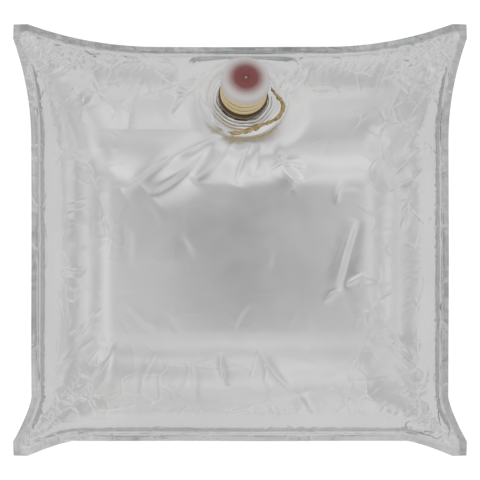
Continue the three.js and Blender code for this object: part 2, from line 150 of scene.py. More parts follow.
# Listed creases of the front film: start and end as shares of the half spans, height in
# millimetres before CREASE_STRENGTH, which is negative for a valley, half width in millimetres,
# and bow as a share of the length. A step lifts the film on one side and lowers it on the other.
RIDGE, STEP = 0, 1
CREASES = (
    (RIDGE, (0.16, 0.68), (0.29, 0.86), 1.5, 2.4, 0.05),
    (STEP, (0.20, 0.66), (0.33, 0.84), -0.5, 2.4, 0.05),
    (STEP, (-0.10, 0.80), (-0.17, 0.76), -0.7, 1.6, 0.10),
    (STEP, (-0.17, 0.76), (-0.23, 0.66), -0.8, 1.6, -0.10),
    (STEP, (-0.23, 0.66), (-0.30, 0.56), -0.5, 1.8, 0.05),
    (RIDGE, (-0.07, 0.50), (-0.50, 0.22), 1.3, 4.2, 0.03),
    (RIDGE, (-0.04, 0.47), (-0.30, 0.36), -0.9, 3.4, 0.03),
    (RIDGE, (-0.02, 0.45), (-0.20, 0.26), 0.9, 3.4, -0.03),
    (STEP, (-0.10, 0.46), (-0.38, 0.20), 0.5, 3.0, -0.06),
    (RIDGE, (0.05, 0.43), (-0.02, 0.25), -0.6, 3.4, 0.04),
    (RIDGE, (0.09, 0.43), (0.06, 0.28), -0.4, 3.0, 0.0),
    (STEP, (0.15, 0.43), (0.27, 0.26), 0.45, 3.0, 0.08),
    (RIDGE, (0.17, 0.38), (0.24, 0.25), 0.35, 2.0, 0.1),
    (RIDGE, (0.12, 0.31), (0.26, 0.36), 0.3, 1.6, -0.1),
    (RIDGE, (0.15, 0.36), (0.28, 0.32), 0.4, 1.8, 0.0),
    (RIDGE, (-0.56, 0.50), (-0.16, 0.50), 0.30, 3.4, 0.0),
    (RIDGE, (-0.42, 0.74), (-0.48, 0.48), 0.5, 2.4, 0.06),
    (RIDGE, (0.94, 0.83), (0.56, 0.30), 0.5, 3.4, 0.02),
    (RIDGE, (0.80, 0.86), (0.61, 0.50), 0.6, 3.0, 0.04),
    (STEP, (0.93, 0.68), (0.66, 0.36), 0.6, 3.0, -0.05),
    (RIDGE, (0.70, 0.90), (0.58, 0.64), -0.5, 2.6, 0.05),
    (STEP, (0.88, 0.88), (0.72, 0.62), 0.5, 2.4, 0.06),
    (RIDGE, (-0.66, 0.86), (-0.56, 0.60), 0.4, 2.6, 0.06),
    (RIDGE, (0.87, 0.44), (0.62, 0.24), 0.7, 2.6, 0.10),
    (RIDGE, (0.87, 0.41), (0.61, 0.22), 0.7, 2.6, -0.10),
    (STEP, (0.50, 0.09), (0.42, -0.22), 0.30, 1.6, 0.02),
    (RIDGE, (0.45, 0.28), (0.41, 0.16), 0.22, 1.6, 0.10),
    (RIDGE, (0.45, -0.20), (0.53, -0.15), 0.30, 1.5, 0.0),
    (RIDGE, (0.42, -0.22), (0.36, -0.28), 0.25, 1.5, 0.05),
    (RIDGE, (0.07, -0.48), (0.26, -0.71), 0.6, 2.6, 0.05),
    (STEP, (0.26, -0.70), (0.32, -0.80), 0.5, 2.0, 0.0),
    (RIDGE, (-0.08, -0.50), (-0.06, -0.66), -0.5, 2.4, 0.05),
    (RIDGE, (-0.58, -0.46), (-0.75, -0.74), 0.6, 2.8, 0.05),
    (RIDGE, (-0.54, -0.50), (-0.66, -0.72), -0.5, 2.6, 0.0),
    (RIDGE, (-0.62, -0.44), (-0.82, -0.60), -0.4, 2.4, 0.0),
    (RIDGE, (0.56, -0.31), (0.94, -0.84), 0.6, 2.8, -0.03),
    (STEP, (0.60, -0.40), (0.84, -0.62), 0.6, 2.2, 0.05),
    (RIDGE, (0.66, -0.55), (0.90, -0.80), -0.7, 2.2, 0.0),
    (RIDGE, (-0.82, 0.47), (-0.64, 0.32), 0.6, 2.6, 0.05),
    (STEP, (-0.88, -0.10), (-0.66, -0.16), 0.4, 2.2, 0.05),
    (RIDGE, (-0.86, 0.12), (-0.64, 0.08), 0.4, 2.4, 0.0),
    (RIDGE, (-0.95, 0.93), (-0.70, 0.66), 0.8, 3.0, 0.04),
    (RIDGE, (-0.94, -0.92), (-0.76, -0.70), 0.8, 2.8, -0.04),
    (RIDGE, (-0.99, 0.97), (-0.88, 0.80), 0.7, 1.6, 0.08),
    (RIDGE, (-0.93, 0.99), (-0.84, 0.83), -0.7, 1.8, -0.08),
    (STEP, (-0.99, 0.88), (-0.86, 0.92), 0.6, 1.5, 0.05),
    (RIDGE, (0.99, 0.97), (0.88, 0.78), -0.6, 1.8, 0.08),
    (RIDGE, (0.96, 0.92), (0.82, 0.70), 0.7, 1.8, 0.05),
    (STEP, (0.93, 0.98), (0.88, 0.84), 0.5, 1.5, 0.05),
    (RIDGE, (0.99, -0.97), (0.87, -0.74), 0.8, 1.6, 0.06),
    (RIDGE, (0.97, -0.99), (0.85, -0.80), -0.9, 1.6, 0.03),
    (STEP, (0.95, -0.88), (0.90, -0.72), 0.7, 1.4, 0.0),
    (RIDGE, (-0.99, -0.97), (-0.88, -0.80), -0.7, 1.6, 0.06),
    (RIDGE, (-0.97, -0.90), (-0.90, -0.72), 0.6, 1.6, 0.03),
    (STEP, (-0.92, -0.99), (-0.84, -0.86), 0.5, 1.5, 0.05),
)
CREASE_STRENGTH = 1.6
CREASE_TAPER = 0.6
STEP_REACH = 4
CREASE_ON_SEAL = 0.8
CREASE_FROM_RIM = 0.002
CREASE_PAST_SEAL = 0.003
CREASE_CLEAR_OF_FLANGE = 0.003

# Small creases, seeded at random
SMALL_CREASES = 420
SMALL_CREASE_SEED = 8
SMALL_CREASE_LENGTH = (0.007, 0.038)
SMALL_CREASE_HEIGHT = (0.00005, 0.00028)
SMALL_CREASE_WIDTH = (0.0011, 0.0021)
SMALL_CREASE_SPREAD = 0.5
SMALL_CREASE_BOW = 0.12
SMALL_CREASE_LEAST = 0.35
CREASED_EDGE_REACH = 0.035
PLATEAU_CREASE_CHANCE = 0.008
CORNER_CREASE_GAIN = 1.5

# The film over the flange, with the fine rings that the sealing tool leaves, and the haze round it
WELD_INNER = ROOT_RADIUS + 0.0005
WELD_OUTER = FLANGE_RADIUS + 0.0045
WELD_RINGS = 76
WELD_ROUND = 360
WELD_LIFT = 0.0004
WELD_LIFT_FADE = 0.002
WELD_THICKNESS = 0.00012
WELD_UNDER = 0.0002
WELD_WOBBLE = (0.0003, 0.00022)
WELD_EDGE_WANDER = 0.0011
WELD_CREASED = 0.15
WELD_CREASED_FADE = 0.012
RING_PITCH = 0.00245
RING_HEIGHT = 0.00048
RING_SHARPNESS = 3
RING_PATCHES = 0.3
RING_WEAKEST = 0.15
RING_WEAKENS = 1.5
RING_TURN = -0.25
RING_SECOND_PITCH = 0.0009
RING_SECOND_HEIGHT = 0.00009
RINGS_FROM_COLLAR = (-0.001, 0.0005)
RINGS_END = 0.006
HOLE_MARGIN = 0.0004
HAZE_START = 0.006
HAZE_END = 0.044
HAZE_FADE = 0.010
HAZE_ROUGHER = 0.10

# The amber bead right of the spout and below it: x, y and half width in millimetres
BEAD = (
    (22.9, 112.6, 0.3), (24.6, 109.8, 0.9), (27.3, 106.4, 1.2), (30.0, 103.2, 1.1),
    (31.9, 100.0, 1.6), (31.6, 96.6, 1.3), (30.3, 93.4, 1.5), (28.4, 90.6, 1.1),
    (25.6, 88.2, 1.4), (22.2, 86.6, 1.0), (18.4, 85.2, 1.2), (14.6, 83.8, 1.0),
    (10.9, 82.2, 2.2), (7.4, 80.6, 1.6), (3.7, 79.2, 1.2), (-0.8, 78.4, 1.4),
    (-5.4, 78.2, 1.1), (-8.9, 78.9, 0.3),
)
BEAD_SEED = 3
BEAD_STEPS = 6
BEAD_SIDES = 10
BEAD_FLATTEN = 0.5
BEAD_SINK = 0.5
BEAD_WAVES = 0.22
BEAD_ROUGHNESS = 0.16
BEAD_WANDER = 0.0002
BEAD_WAVE_RATES = (2.9, 7.3, 6.1)
BEAD_FILM_REACH = 0.05
BEAD_FILM_POINTS = 6

# Tones along the spout's axis, from its seat: khaki collar darkened with painted shade, painted
# shadow in the groove, amber ribs with painted shade in the lines between them
NECK_TONES_LENGTH = 0.025
NECK_TONES_WITH_PAINTED_SHADE = (
    (0.0, (0.19, 0.15, 0.105)), (0.165, (0.20, 0.16, 0.115)), (0.175, (0.14, 0.095, 0.045)),
    (0.275, (0.17, 0.115, 0.05)), (0.30, (0.66, 0.53, 0.30)), (0.46, (0.72, 0.60, 0.36)),
    (0.475, (0.42, 0.29, 0.12)), (0.51, (0.42, 0.29, 0.12)), (0.525, (0.72, 0.60, 0.36)),
    (0.695, (0.72, 0.60, 0.36)), (0.71, (0.46, 0.33, 0.15)), (0.75, (0.46, 0.33, 0.15)),
    (0.765, (0.72, 0.60, 0.36)), (1.0, (0.74, 0.62, 0.39)),
)
AMBER_DEPTHS = (0.004, 0.0028, 0.0012)


def grey(value):
    """A colour without a tint."""
    return (value, value, value)


# The closure from its middle outwards, as shares of its radius: how much it covers, and its tone,
# which paints in the red contents as seen through the frosted plastic, with a painted pink glow
# further out
CAP_RADIUS = 0.0178
CAP_COVER = (
    (0.0, grey(0.55)), (0.015, grey(0.55)), (0.028, grey(0.85)), (0.045, grey(0.85)),
    (0.06, grey(0.55)), (0.46, grey(0.55)), (0.60, grey(0.75)), (0.76, grey(0.86)),
    (0.90, grey(0.95)),
)
CAP_PAINTED_SEE_THROUGH_TONES = (
    (0.0, (0.20, 0.08, 0.07)), (0.015, (0.20, 0.08, 0.07)), (0.028, (0.52, 0.36, 0.33)),
    (0.045, (0.52, 0.36, 0.33)), (0.06, (0.19, 0.055, 0.05)), (0.14, (0.29, 0.08, 0.075)),
    (0.46, (0.34, 0.11, 0.105)), (0.60, (0.42, 0.28, 0.27)), (0.73, (0.52, 0.46, 0.45)),
    (0.85, (0.58, 0.54, 0.535)), (1.0, (0.62, 0.59, 0.575)),
)

# The floor and the surroundings. The rings go from straight below to straight overhead
FLOOR_SIZE = 4.0
FLOOR_TONE = 0.6
FLOOR_MOTTLE = 0.01
FLOOR_GLOW = 0.24
FLOOR_GLOW_SEEN = 0.65
WORLD_RINGS = (
    (0.0, grey(0.55)), (0.50, grey(0.69)), (0.66, grey(0.69)), (0.85, grey(0.73)),
    (0.988, grey(0.74)), (0.9965, grey(0.68)), (0.9990, grey(0.46)), (1.0, grey(0.34)),
)
WORLD_BRIGHT_SIDE = (0.07, 0.28, 0.957)
WORLD_BRIGHT_FROM = 0.90
WORLD_BRIGHT = 0.16
WORLD_CLOUD_SCALE = 4.0
WORLD_CLOUDS_FROM = (0.35, 0.65)
WORLD_CLOUDS = 0.20
WORLD_ON_MATT = 1.3

# The camera, straight above
CAMERA_HEIGHT = 1.535
LENS = 150
SENSOR = 36


def smooth(value, low, high):
    """0 up to low, 1 from high on, and a soft step between them."""
    share = np.clip((value - low) / (high - low), 0, 1)
    return share * share * (3 - 2 * share)


def drawn_in(from_tip, inset, run, curve):
    """How far an edge has drawn in at a distance from the tip of its ear."""
    share = np.clip((from_tip - EAR_TIP_FLAT) / run, 0, 1)
    return inset * (1 - (1 - share) ** curve)


def plan(u, v):
    """Where a point of the flat sheet lies in plan once the pouch is filled."""
    top = v >= 0
    curve = np.where(top, TOP_EAR_CURVE, BOTTOM_EAR_CURVE)
    side_run = np.where(top, SIDE_TOP_EAR_RUN, SIDE_BOTTOM_EAR_RUN)
    end_inset = np.where(top, TOP_EDGE_INSET, BOTTOM_EDGE_INSET)
    end_run = np.where(top, TOP_EDGE_EAR_RUN, BOTTOM_EDGE_EAR_RUN)
    side = drawn_in(HALF_Y - np.abs(v), SIDE_INSET, side_run, curve)
    end = drawn_in(HALF_X - np.abs(u), end_inset, end_run, curve)
    return u * (1 - side / HALF_X), v * (1 - end / HALF_Y)


def rise(from_seal, slope, soft, fullness=FILM_FULLNESS):
    """How far the film has risen: soft makes its start at the seal gentler than the solid's."""
    share = np.clip(from_seal / slope, 0, 1)
    share = share ** 2 * (1 + soft) / (share + soft + NEVER_ZERO)
    return (1 - (1 - share) ** 2) ** fullness


def seam_height(u, v):
    """Height at which the two films meet: it waves, and droops towards the ears."""
    ear = (np.abs(u / HALF_X) * np.abs(v / HALF_Y)) ** EAR_DROOP_POWER
    wave = SEAM_WAVE * np.sin((u + SEAM_WAVE_SLANT * v) / SEAM_WAVE_REACH) * (1 - ear)
    return SEAM_HEIGHT - EAR_DROOP * ear + wave


def crown(u, v, soft=SEAL_SOFTNESS):
    """Height of the front film, without the spout's seat."""
    side = rise(HALF_X - SEAL_WIDTH - np.abs(u), SIDE_SLOPE, soft)
    top = rise(HALF_Y - SEAL_WIDTH - v, TOP_SLOPE, soft, TOP_FULLNESS)
    bottom = rise(HALF_Y - SEAL_WIDTH + v, BOTTOM_SLOPE, soft)
    base = seam_height(u, v)
    dome = CROWN_DOME * ((u / HALF_X) ** 2 + (v / HALF_Y) ** 2)
    return base + (POUCH_HEIGHT - dome - base) * side * np.where(v >= 0, top, bottom)


def seat_frame():
    """The spout's seat: its middle, its axis, and two directions across it."""
    seat_y = HALF_Y - SPOUT_FROM_TOP_TIPS
    seat_v = seat_y / (1 - TOP_EDGE_INSET / HALF_Y)
    seat_z = float(crown(np.array(SPOUT_OFF_CENTRE), np.array(seat_v), 0))
    axis = np.array([math.sin(SPOUT_LEAN), math.sin(SPOUT_TILT), math.cos(SPOUT_TILT)])
    axis /= np.linalg.norm(axis)
    across = np.cross([0.0, 1.0, 0.0], axis)
    across /= np.linalg.norm(across)
    return np.array([SPOUT_OFF_CENTRE, seat_y, seat_z]), axis, across, np.cross(axis, across)


SEAT, AXIS, ACROSS, UPWARD = seat_frame()


def seat_plane(x, y):
    """Height of the seat's plane over x, y, and the distance from the spout's axis."""
    dx, dy = x - SEAT[0], y - SEAT[1]
    return SEAT[2] - (AXIS[0] * dx + AXIS[1] * dy) / AXIS[2], np.hypot(dx, dy / AXIS[2])


def front_surface(u, v):
    """The smooth front film, with the flat seat of the spout."""
    x, y = plan(u, v)
    film = crown(u, v)
    height, distance = seat_plane(x, y)
    flat = FLANGE_RADIUS + SEAT_MARGIN
    share = 1 - smooth(distance, flat, flat + SEAT_BLEND)
    share = share * smooth(HALF_Y - SEAL_WIDTH - v, 0, SEAT_SEAL_FADE)
    return np.stack([x, y, film + (height - film) * share], axis=-1)


def back_surface(u, v):
    """The smooth back film, which lies on the floor but for its slopes."""
    x, y = plan(u, v)
    side = rise(HALF_X - SEAL_WIDTH - np.abs(u), BELLY_SLOPE, 0)
    end = rise(HALF_Y - SEAL_WIDTH - np.abs(v), BELLY_SLOPE, 0)
    return np.stack([x, y, seam_height(u, v) * (1 - side * end)], axis=-1)


def sheet_grid(nx, ny):
    """The places of the grid's points on the flat sheet."""
    return np.meshgrid(np.linspace(-HALF_X, HALF_X, nx + 1), np.linspace(-HALF_Y, HALF_Y, ny + 1))


def from_middle(u, v):
    """How far a place is from the middle of the sheet, as a share of the half spans."""
    return np.maximum(np.abs(u) / HALF_X, np.abs(v) / HALF_Y)


def off_plateau(u, v):
    """0 on the tight middle of the pouch, 1 on its slopes."""
    return smooth(from_middle(u, v), *PLATEAU_EDGE)


def crumpled(u, v):
    """How crumpled the film is: most in the corners and along the right side, least elsewhere."""
    u_share, v_share = u / HALF_X, v / HALF_Y
    corner = smooth(np.abs(u_share * v_share), *CORNER_EDGE)
    right = RIGHT_CRUMPLED * smooth(u_share, *RIGHT_EDGE)
    return CALM_CRUMPLED + (1 - CALM_CRUMPLED) * np.maximum(corner, right)


def wander(u, v, rng):
    """A slow random field of about unit size."""
    total = np.zeros_like(u)
    for _ in range(WANDER_WAVES):
        angle = rng.uniform(0, 2 * math.pi)
        k = 2 * math.pi / (PATCH_PITCH * rng.uniform(*WANDER_SPREAD))
        phase = rng.uniform(0, 2 * math.pi)
        total += np.sin(k * (math.cos(angle) * u + math.sin(angle) * v) + phase)
    return total / math.sqrt(WANDER_WAVES / 2)


def slack_field(u, v):
    """Extra length of the film along x and along y, as shares of its length."""
    rng = np.random.default_rng(PATCH_SEED)
    side = np.exp(-(HALF_X - np.abs(u) - SEAL_WIDTH).clip(0) / SEAM_SLACK_REACH)
    end = np.exp(-(HALF_Y - np.abs(v) - SEAL_WIDTH).clip(0) / SEAM_SLACK_REACH)
    patchy = np.clip(PATCH_MEAN + PATCH_SWING * wander(u, v, rng), 0, PATCH_MOST)
    patchy = PATCH_LEAST + (1 - PATCH_LEAST) * patchy
    crumple = CRUMPLE_SLACK * np.clip(1 + wander(u, v, rng), 0, CRUMPLE_MOST)
    crumple = crumple * off_plateau(u, v)
    ear = EAR_SLACK * (np.abs(u / HALF_X) * np.abs(v / HALF_Y)) ** EAR_SLACK_POWER
    from_seal = np.minimum(HALF_X - np.abs(u), HALF_Y - np.abs(v)) - SEAL_WIDTH
    loose = smooth(from_seal, *SLACK_FROM_SEAL)
    loose = loose * crumpled(u, v)
    along_x = (SEAM_SLACK * end * patchy + crumple + ear) * loose
    along_y = (SEAM_SLACK * side * patchy + crumple + ear) * loose
    x, y = plan(u, v)
    _, distance = seat_plane(x, y)
    starts, ends = SLACK_FROM_FLANGE
    free = smooth(distance, FLANGE_RADIUS + starts, FLANGE_RADIUS + ends)
    return along_x * free, along_y * free


def pull(a, b, rest, stretch, squeeze):
    """Moves the ends of each link, which a and b give as views, towards its rest length."""
    d = b - a
    length = np.sqrt(np.einsum("ijk,ijk->ij", d, d)) + SHORTEST
    strain = 1 - rest / length
    d *= (np.where(strain > 0, stretch, squeeze) * 0.5 * strain)[..., None]
    a += d
    b -= d


def pull_rows(p, span, rest, stretch, squeeze):
    """Links between the rows that lie span apart, in colours that share no point."""
    for colour in range(2 * span):
        a = p[colour:p.shape[0] - span:2 * span]
        b = p[colour + span::2 * span][:a.shape[0]]
        pull(a, b, rest[colour::2 * span][:a.shape[0]], stretch, squeeze)


def pull_slants(p, rising, falling, stretch, squeeze):
    """Links on both slants of the cells, in colours that share no point."""
    for colour in range(2):
        a = p[colour:p.shape[0] - 1:2]
        b = p[colour + 1::2][:a.shape[0]]
        pull(a[:, :-1], b[:, 1:], rising[colour::2], stretch, squeeze)
        pull(a[:, 1:], b[:, :-1], falling[colour::2], stretch, squeeze)


def link_lengths(base, slack):
    """Rest lengths down, across and on both slants: the smooth shape's own, with the slack."""
    along_x, along_y = slack
    mean = 1 + (along_x + along_y)[1:, 1:] / 2
    down = np.linalg.norm(base[1:] - base[:-1], axis=-1) * (1 + (along_y[1:] + along_y[:-1]) / 2)
    over = np.linalg.norm(base[:, 1:] - base[:, :-1], axis=-1)
    over = over * (1 + (along_x[:, 1:] + along_x[:, :-1]) / 2)
    rising = np.linalg.norm(base[1:, 1:] - base[:-1, :-1], axis=-1) * mean
    falling = np.linalg.norm(base[1:, :-1] - base[:-1, 1:], axis=-1) * mean
    return down, over.T, rising, falling


def sheet_normals(p):
    """Directions out of the film at each of its points."""
    n = np.cross(np.gradient(p, axis=1), np.gradient(p, axis=0))
    return n / (np.linalg.norm(n, axis=-1, keepdims=True) + SHORTEST)


def relax(p, base, slack, steps, press, out, seat):
    """Lets the film, which has more length than its smooth shape, find its wrinkles.

    The contents press it out: up where out is 1, down where it is -1. Where seat is true the
    film is held on the spout's flange.
    """
    ny, nx = p.shape[0] - 1, p.shape[1] - 1
    u, v = sheet_grid(nx, ny)
    inside = (HALF_X - np.abs(u) > SEAL_WIDTH) & (HALF_Y - np.abs(v) > SEAL_WIDTH)
    down, over, rising, falling = link_lengths(base, slack)
    rim = np.ones_like(inside)
    rim[1:-1, 1:-1] = False
    near = np.zeros_like(u)
    if seat:
        _, distance = seat_plane(base[..., 0], base[..., 1])
        held, loose = SEAT_HELD
        near = 1 - smooth(distance, FLANGE_RADIUS + held, FLANGE_RADIUS + loose)
    hold = np.maximum(np.where(inside, HOLD, SEAL_HOLD), SEAT_HOLD * near)[..., None]
    pressed = (out * press * inside * (1 - near))[..., None]
    turned = p.transpose(1, 0, 2)
    for step in range(steps):
        if step % PRESS_EVERY == 0:
            push = sheet_normals(p) * pressed
        p += push
        pull_rows(turned, 1, over, 1.0, SQUEEZE)
        pull_rows(p, 1, down, 1.0, SQUEEZE)
        pull_slants(p, rising, falling, SLANT_STRETCH, SLANT_STRETCH * SQUEEZE)
        pull_rows(turned, 2, over[1:] + over[:-1], 0.0, STIFFNESS)
        pull_rows(p, 2, down[1:] + down[:-1], 0.0, STIFFNESS)
        p += hold * (base - p)
        p[rim] += RIM_HOLD * (base[rim] - p[rim])
    return p


def double(p):
    """Twice as many cells, with the new points on a smooth curve between the old ones."""
    for axis in (0, 1):
        q = np.moveaxis(p, axis, 0)
        out = np.empty((2 * q.shape[0] - 1,) + q.shape[1:])
        out[::2] = q
        before = np.concatenate([2 * q[:1] - q[1:2], q[:-2]])
        after = np.concatenate([q[2:], 2 * q[-1:] - q[-2:-1]])
        out[1::2] = (9 * (q[:-1] + q[1:]) - before - after) / 16
        p = np.moveaxis(out, 0, axis)
    return np.ascontiguousarray(p)


def film_points(surface, levels, out, seat):
    """The wrinkled film as a grid of points, from coarse to fine."""
    rng = np.random.default_rng(FILM_SEED)
    nx, ny = FILM_CELLS
    p = surface(*sheet_grid(nx, ny))
    for level in range(levels):
        if level:
            p = double(p)
            nx, ny = 2 * nx, 2 * ny
        u, v = sheet_grid(nx, ny)
        ripple = FIRST_RIPPLE / 2 ** level * rng.standard_normal((ny - 1, nx - 1))
        p[1:-1, 1:-1, 2] += ripple * off_plateau(u, v)[1:-1, 1:-1]
        steps = FILM_STEPS[level]
        p = relax(p, surface(u, v), slack_field(u, v), steps, PRESS / 2 ** level, out, seat)
    return p


def small_creases():
    """Short sharp creases, most of them near the seals and at right angles to them."""
    rng = np.random.default_rng(SMALL_CREASE_SEED)
    creases = []
    while len(creases) < SMALL_CREASES:
        x, y = rng.uniform(-HALF_X, HALF_X), rng.uniform(-HALF_Y, HALF_Y)
        to_side, to_end = HALF_X - abs(x), HALF_Y - abs(y)
        near = math.exp(-to_side / CREASED_EDGE_REACH) + math.exp(-to_end / CREASED_EDGE_REACH)
        if rng.uniform() > PLATEAU_CREASE_CHANCE + near:
            continue
        facing = 0 if to_side < to_end else math.pi / 2
        spread = SMALL_CREASE_SPREAD if rng.uniform() < near else math.pi / 2
        angle = facing + rng.uniform(-spread, spread)
        half = rng.uniform(*SMALL_CREASE_LENGTH) / 2
        dx, dy = half * math.cos(angle), half * math.sin(angle)
        height = rng.uniform(*SMALL_CREASE_HEIGHT) * rng.choice([-1, 1])
        height *= min(1, SMALL_CREASE_LEAST + near)
        height *= (1 + CORNER_CREASE_GAIN * (x * y / (HALF_X * HALF_Y)) ** 2) * crumpled(x, y)
        start, end = (x - dx, y - dy), (x + dx, y + dy)
        width = rng.uniform(*SMALL_CREASE_WIDTH)
        kind = rng.integers(2)
        bow = rng.uniform(-SMALL_CREASE_BOW, SMALL_CREASE_BOW)
        creases.append((kind, start, end, height, width, bow))
    return creases


def press_creases(p, creases):
    """Adds each crease to the film's height: a sharp ridge or valley, or a step."""
    x, y = p[..., 0], p[..., 1]
    _, distance = seat_plane(x, y)
    free = smooth(distance, FLANGE_RADIUS, FLANGE_RADIUS + CREASE_CLEAR_OF_FLANGE)
    u, v = sheet_grid(p.shape[1] - 1, p.shape[0] - 1)
    from_edge = np.minimum(HALF_X - np.abs(u), HALF_Y - np.abs(v))
    off_seal = smooth(from_edge, CREASE_FROM_RIM, SEAL_WIDTH + CREASE_PAST_SEAL)
    free = free * (CREASE_ON_SEAL + (1 - CREASE_ON_SEAL) * off_seal)
    lift = np.zeros_like(x)
    for kind, (x0, y0), (x1, y1), height, width, bow in creases:
        length = math.hypot(x1 - x0, y1 - y0)
        tx, ty = (x1 - x0) / length, (y1 - y0) / length
        along = ((x - x0) * tx + (y - y0) * ty) / length
        inside = (along > 0) & (along < 1)
        along = along[inside]
        across = ((x - x0) * ty - (y - y0) * tx)[inside] - bow * length * np.sin(np.pi * along)
        taper = np.sin(np.pi * along) ** CREASE_TAPER
        if kind == STEP:
            profile = np.tanh(across / width) * np.exp(-(across / (STEP_REACH * width)) ** 2)
        else:
            profile = np.exp(-np.abs(across) / width)
        lift[inside] += CREASE_STRENGTH * height * taper * profile
    p[..., 2] += lift * free


def placed_creases():
    """The listed creases in metres."""
    span = (HALF_X, HALF_Y)
    creases = []
    for kind, start, end, height, width, bow in CREASES:
        start = tuple(share * half for share, half in zip(start, span))
        end = tuple(share * half for share, half in zip(end, span))
        creases.append((kind, start, end, height / MM_IN_METRE, width / MM_IN_METRE, bow))
    return creases


def mesh_object(name, vertices, faces, material):
    """A smoothly shaded mesh with one material, sharp only where faces meet steeply."""
    mesh = bpy.data.meshes.new(name)
    mesh.from_pydata([tuple(map(float, point)) for point in vertices], [], faces)
    mesh.validate()
    mesh.update()
    mesh.polygons.foreach_set("use_smooth", [True] * len(mesh.polygons))
    mesh.set_sharp_from_angle(angle=SHARP_ANGLE)
    piece = bpy.data.objects.new(name, mesh)
    bpy.context.scene.collection.objects.link(piece)
    mesh.materials.append(material)
    return piece


def pouch_mesh(front, back):
    """The two films as one closed skin. The back film has half as many cells each way.

    Returns its points, its faces, and each point's place on the flat sheet.
    """
    rows, columns = front.shape[:2]
    back_rows, back_columns = back.shape[:2]
    front = front.copy()
    back = back.copy()
    back[0], back[-1] = front[0, ::2], front[-1, ::2]
    back[:, 0], back[:, -1] = front[::2, 0], front[::2, -1]
    back[..., 2] = np.maximum(back[..., 2], 0)
    front_index = np.arange(rows * columns).reshape(rows, columns)
    back_index = rows * columns + np.arange(back_rows * back_columns)
    back_index = back_index.reshape(back_rows, back_columns)
    rim = np.zeros((back_rows, back_columns), dtype=bool)
    rim[0] = rim[-1] = True
    rim[:, 0] = rim[:, -1] = True
    back_index[rim] = front_index[::2, ::2][rim]
    _, distance = seat_plane(front[..., 0], front[..., 1])
    hole = distance < ROOT_RADIUS + HOLE_MARGIN

    faces = []
    for j in range(rows - 1):
        for i in range(columns - 1):
            if hole[j:j + 2, i:i + 2].all():
                continue
            a, b = int(front_index[j, i]), int(front_index[j, i + 1])
            c, d = int(front_index[j + 1, i + 1]), int(front_index[j + 1, i])
            faces += [(a, b, c), (a, c, d)]
    for j in range(back_rows - 1):
        for i in range(back_columns - 1):
            ring = [(j, i), (j + 1, i), (j + 1, i + 1), (j, i + 1)]
            polygon = []
            for k, (row, column) in enumerate(ring):
                polygon.append(int(back_index[row, column]))
                next_row, next_column = ring[(k + 1) % 4]
                on_rim = (row == next_row and row in (0, back_rows - 1)) or (
                    column == next_column and column in (0, back_columns - 1))
                if on_rim:
                    polygon.append(int(front_index[row + next_row, column + next_column]))
            faces.append(tuple(polygon))
    points = np.concatenate([front.reshape(-1, 3), back.reshape(-1, 3)])
    grids = [sheet_grid(columns - 1, rows - 1), sheet_grid(back_columns - 1, back_rows - 1)]
    flat = np.concatenate([np.stack(grid, axis=-1).reshape(-1, 2) for grid in grids])
    used = np.zeros(len(points), dtype=bool)
    for face in faces:
        used[list(face)] = True
    number = np.cumsum(used) - 1
    faces = [tuple(int(number[k]) for k in face) for face in faces]
    return points[used], faces, flat[used]


def mark_film(piece, flat):
    """Writes how dulled by the seal's press, how creased and how hazed each point is."""
    u, v = flat.T
    dull = np.zeros(len(flat))
    for from_side, strength in zip((HALF_X + u, HALF_X - u, HALF_Y + v, HALF_Y - v), SEAL_DULL):
        inner = smooth(from_side, DULL_WIDTH - DULL_FADE, DULL_WIDTH + DULL_FADE)
        dull = np.maximum(dull, strength * (1 - inner))
    near = smooth(from_middle(u, v), *CREASED_EDGE)
    creased = (PLATEAU_CREASED + (1 - PLATEAU_CREASED) * near) * crumpled(u, v)
    _, distance = seat_plane(*plan(u, v))
    off_weld = smooth(distance, WELD_OUTER, WELD_OUTER + WELD_CREASED_FADE)
    creased = creased * (WELD_CREASED + (1 - WELD_CREASED) * off_weld)
    hazed = smooth(distance, WELD_OUTER - HAZE_START, WELD_OUTER)
    hazed = hazed * (1 - smooth(distance, HAZE_END - HAZE_FADE, HAZE_END))
    for name, values in (("sealed", dull), ("creased", creased), ("hazed", hazed)):
        piece.data.attributes.new(name, "FLOAT", "POINT").data.foreach_set("value", values)


